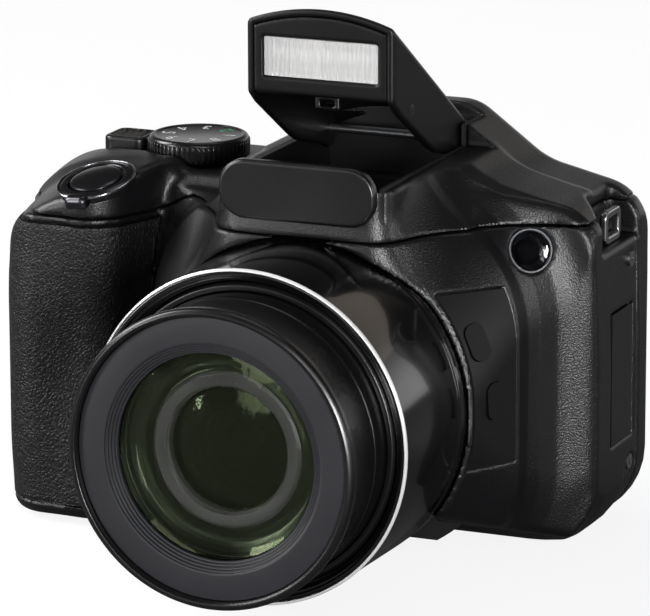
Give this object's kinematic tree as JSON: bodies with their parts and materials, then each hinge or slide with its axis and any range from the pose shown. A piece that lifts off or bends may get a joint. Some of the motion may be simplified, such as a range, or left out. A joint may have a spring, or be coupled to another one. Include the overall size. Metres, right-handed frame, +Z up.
{
  "type": "bridge camera",
  "caption": "Black bridge camera with a grip, a telescoping zoom lens in a shroud, a raised flash on a hinged arm, dials, buttons and a rear screen.",
  "frame": {"origin": "centre of the tripod socket's mouth, on the base plane under the lens axis", "axes": "+Z up, the lens looks along -Y, +X is the side away from the grip"},
  "size_m": [0.119, 0.1044, 0.1064],
  "materials": {
    "body_plastic": "satin black moulded plastic",
    "grip_rubber": "black grained rubber",
    "shroud_gloss": "gloss black",
    "barrel_black": "satin black anodised",
    "panel_plastic": "dark grey satin",
    "button_plastic": "semi-gloss black",
    "trim_silver": "polished bright ring",
    "bright_metal": "bright metal",
    "shutter_metal": "dark spun metal",
    "lens_glass": "coated optical glass",
    "lamp_glass": "smoked clear dome",
    "flash_glass": "ribbed clear window",
    "reflector": "bright reflector",
    "screen_glass": "dark screen glass",
    "lcd_black": "black panel",
    "board_green": "green board",
    "plate_metal": "pressed metal",
    "pinion_brass": "brass",
    "battery_grey": "dark grey",
    "card_blue": "blue"
  },
  "bodies": {
    "camera": {"front_cover": "body_plastic", "rear_cover": "body_plastic", "top_cover": "body_plastic", "grip_skin": "grip_rubber", "name_plate": "body_plastic", "assist_panel": "panel_plastic", "af_lamp_bezel": "panel_plastic", "af_lamp_glass": "lamp_glass", "strap_lug_right": "bright_metal", "strap_lug_left": "bright_metal", "side_screws": "bright_metal", "tripod_socket": "bright_metal", "lens_base": "barrel_black", "guide_rods": "bright_metal", "image_sensor": "lcd_black", "sensor_bracket": "panel_plastic", "lens_shroud": "shroud_gloss", "trim_ring": "trim_silver", "zoom_motor": "plate_metal", "main_board": "board_green", "chassis": "plate_metal", "data_socket": "bright_metal", "battery": "battery_grey", "memory_card": "card_blue", "lcd_panel": "lcd_black", "screen_window": "screen_glass", "flash_bay": "panel_plastic", "flash_hinge_pin": "bright_metal"},
    "middle_barrel": {"middle_barrel": "barrel_black"},
    "front_barrel": {"front_barrel": "barrel_black", "name_ring": "barrel_black", "front_baffle": "barrel_black", "front_element": "lens_glass", "second_element": "lens_glass", "iris_unit": "barrel_black"},
    "cam_ring": {"cam_ring": "barrel_black"},
    "motor_pinion": {"motor_pinion": "pinion_brass"},
    "focus_group": {"focus_cell": "barrel_black", "focus_element": "lens_glass"},
    "flash": {"flash_cover": "body_plastic", "flash_head": "body_plastic", "flash_window": "flash_glass", "flash_reflector": "reflector", "flash_tube": "flash_glass"},
    "mode_dial": {"mode_dial": "body_plastic"},
    "rear_dial": {"rear_dial": "button_plastic"},
    "set_button": {"set_button": "button_plastic"},
    "movie_button": {"movie_button": "button_plastic"},
    "display_button": {"display_button": "button_plastic"},
    "playback_button": {"playback_button": "button_plastic"},
    "menu_button": {"menu_button": "button_plastic"},
    "shutter_button": {"shutter_button": "shutter_metal"},
    "zoom_lever": {"zoom_lever": "bright_metal"},
    "power_switch": {"power_switch": "body_plastic"},
    "assist_button_upper": {"assist_button_upper": "button_plastic"},
    "assist_button_lower": {"assist_button_lower": "button_plastic"},
    "battery_door": {"battery_door": "body_plastic"},
    "terminal_door": {"terminal_door": "body_plastic"}
  },
  "joints": [
    {"name": "zoom_middle", "type": "slide", "parent": "camera", "child": "middle_barrel", "axis": [0, -1, 0], "range_m": [-0.00765, 0.022]},
    {"name": "zoom_front", "type": "slide", "parent": "middle_barrel", "child": "front_barrel", "axis": [0, -1, 0], "range_m": [-0.00765, 0.022]},
    {"name": "cam_turn", "type": "hinge", "parent": "camera", "child": "cam_ring", "pos_m": [0, -0.0205, 0.0325], "axis": [0, -1, 0], "range_deg": [-39.2, 111.8]},
    {"name": "pinion_turn", "type": "hinge", "parent": "camera", "child": "motor_pinion", "pos_m": [-0.02404, -0.0205, 0.00846], "axis": [0, -1, 0], "range_deg": [-1154.1, 403.9]},
    {"name": "focus_slide", "type": "slide", "parent": "camera", "child": "focus_group", "axis": [0, -1, 0], "range_m": [-0.003, 0.003]},
    {"name": "flash_hinge", "type": "hinge", "parent": "camera", "child": "flash", "pos_m": [0, 0.0055, 0.0755], "axis": [-1, 0, 0], "range_deg": [-32.5, 0]},
    {"name": "mode_dial_turn", "type": "hinge", "parent": "camera", "child": "mode_dial", "pos_m": [-0.0394, -0.0002, 0.07], "axis": [0, 0, 1], "continuous": true},
    {"name": "rear_dial_turn", "type": "hinge", "parent": "camera", "child": "rear_dial", "pos_m": [-0.046, 0.02, 0.027], "axis": [0, 1, 0], "continuous": true},
    {"name": "set_button_press", "type": "slide", "parent": "camera", "child": "set_button", "axis": [0, -1, 0], "range_m": [0, 0.0003], "stiffness_N_per_m": 600},
    {"name": "movie_button_press", "type": "slide", "parent": "camera", "child": "movie_button", "axis": [0, -1, 0], "range_m": [0, 0.0005], "stiffness_N_per_m": 600},
    {"name": "display_button_press", "type": "slide", "parent": "camera", "child": "display_button", "axis": [0, -1, 0], "range_m": [0, 0.0005], "stiffness_N_per_m": 600},
    {"name": "playback_button_press", "type": "slide", "parent": "camera", "child": "playback_button", "axis": [0, -1, 0], "range_m": [0, 0.0005], "stiffness_N_per_m": 600},
    {"name": "menu_button_press", "type": "slide", "parent": "camera", "child": "menu_button", "axis": [0, -1, 0], "range_m": [0, 0.0005], "stiffness_N_per_m": 600},
    {"name": "shutter_press", "type": "slide", "parent": "camera", "child": "shutter_button", "axis": [0.1032, 0.2753, -0.9558], "range_m": [0, 0.0006], "stiffness_N_per_m": 600},
    {"name": "zoom_lever_turn", "type": "hinge", "parent": "camera", "child": "zoom_lever", "pos_m": [-0.0494, -0.0259, 0.068], "axis": [-0.1032, -0.2753, 0.9558], "range_deg": [-20, 20], "stiffness_Nm_per_rad": 0.02},
    {"name": "power_press", "type": "slide", "parent": "camera", "child": "power_switch", "axis": [0, 0, -1], "range_m": [0, 0.0004], "stiffness_N_per_m": 600},
    {"name": "assist_button_upper_press", "type": "slide", "parent": "camera", "child": "assist_button_upper", "axis": [-0.7886, 0.5193, -0.3294], "range_m": [0, 0.0004], "stiffness_N_per_m": 600},
    {"name": "assist_button_lower_press", "type": "slide", "parent": "camera", "child": "assist_button_lower", "axis": [-0.9301, 0.3631, -0.055], "range_m": [0, 0.0004], "stiffness_N_per_m": 600},
    {"name": "battery_door_hinge", "type": "hinge", "parent": "camera", "child": "battery_door", "pos_m": [-0.063, -0.00275, 0.001], "axis": [0, 1, 0], "range_deg": [0, 88]},
    {"name": "terminal_door_hinge", "type": "hinge", "parent": "camera", "child": "terminal_door", "pos_m": [0.048, 0.0065, 0.033], "axis": [0, 0, 1], "range_deg": [0, 90]}
  ],
  "couplings": [
    {"joint": "zoom_front", "follows": "zoom_middle", "ratio": 1},
    {"joint": "cam_turn", "follows": "zoom_middle", "rad_per_m": 88.297},
    {"joint": "pinion_turn", "follows": "zoom_middle", "rad_per_m": -912.4}
  ]
}
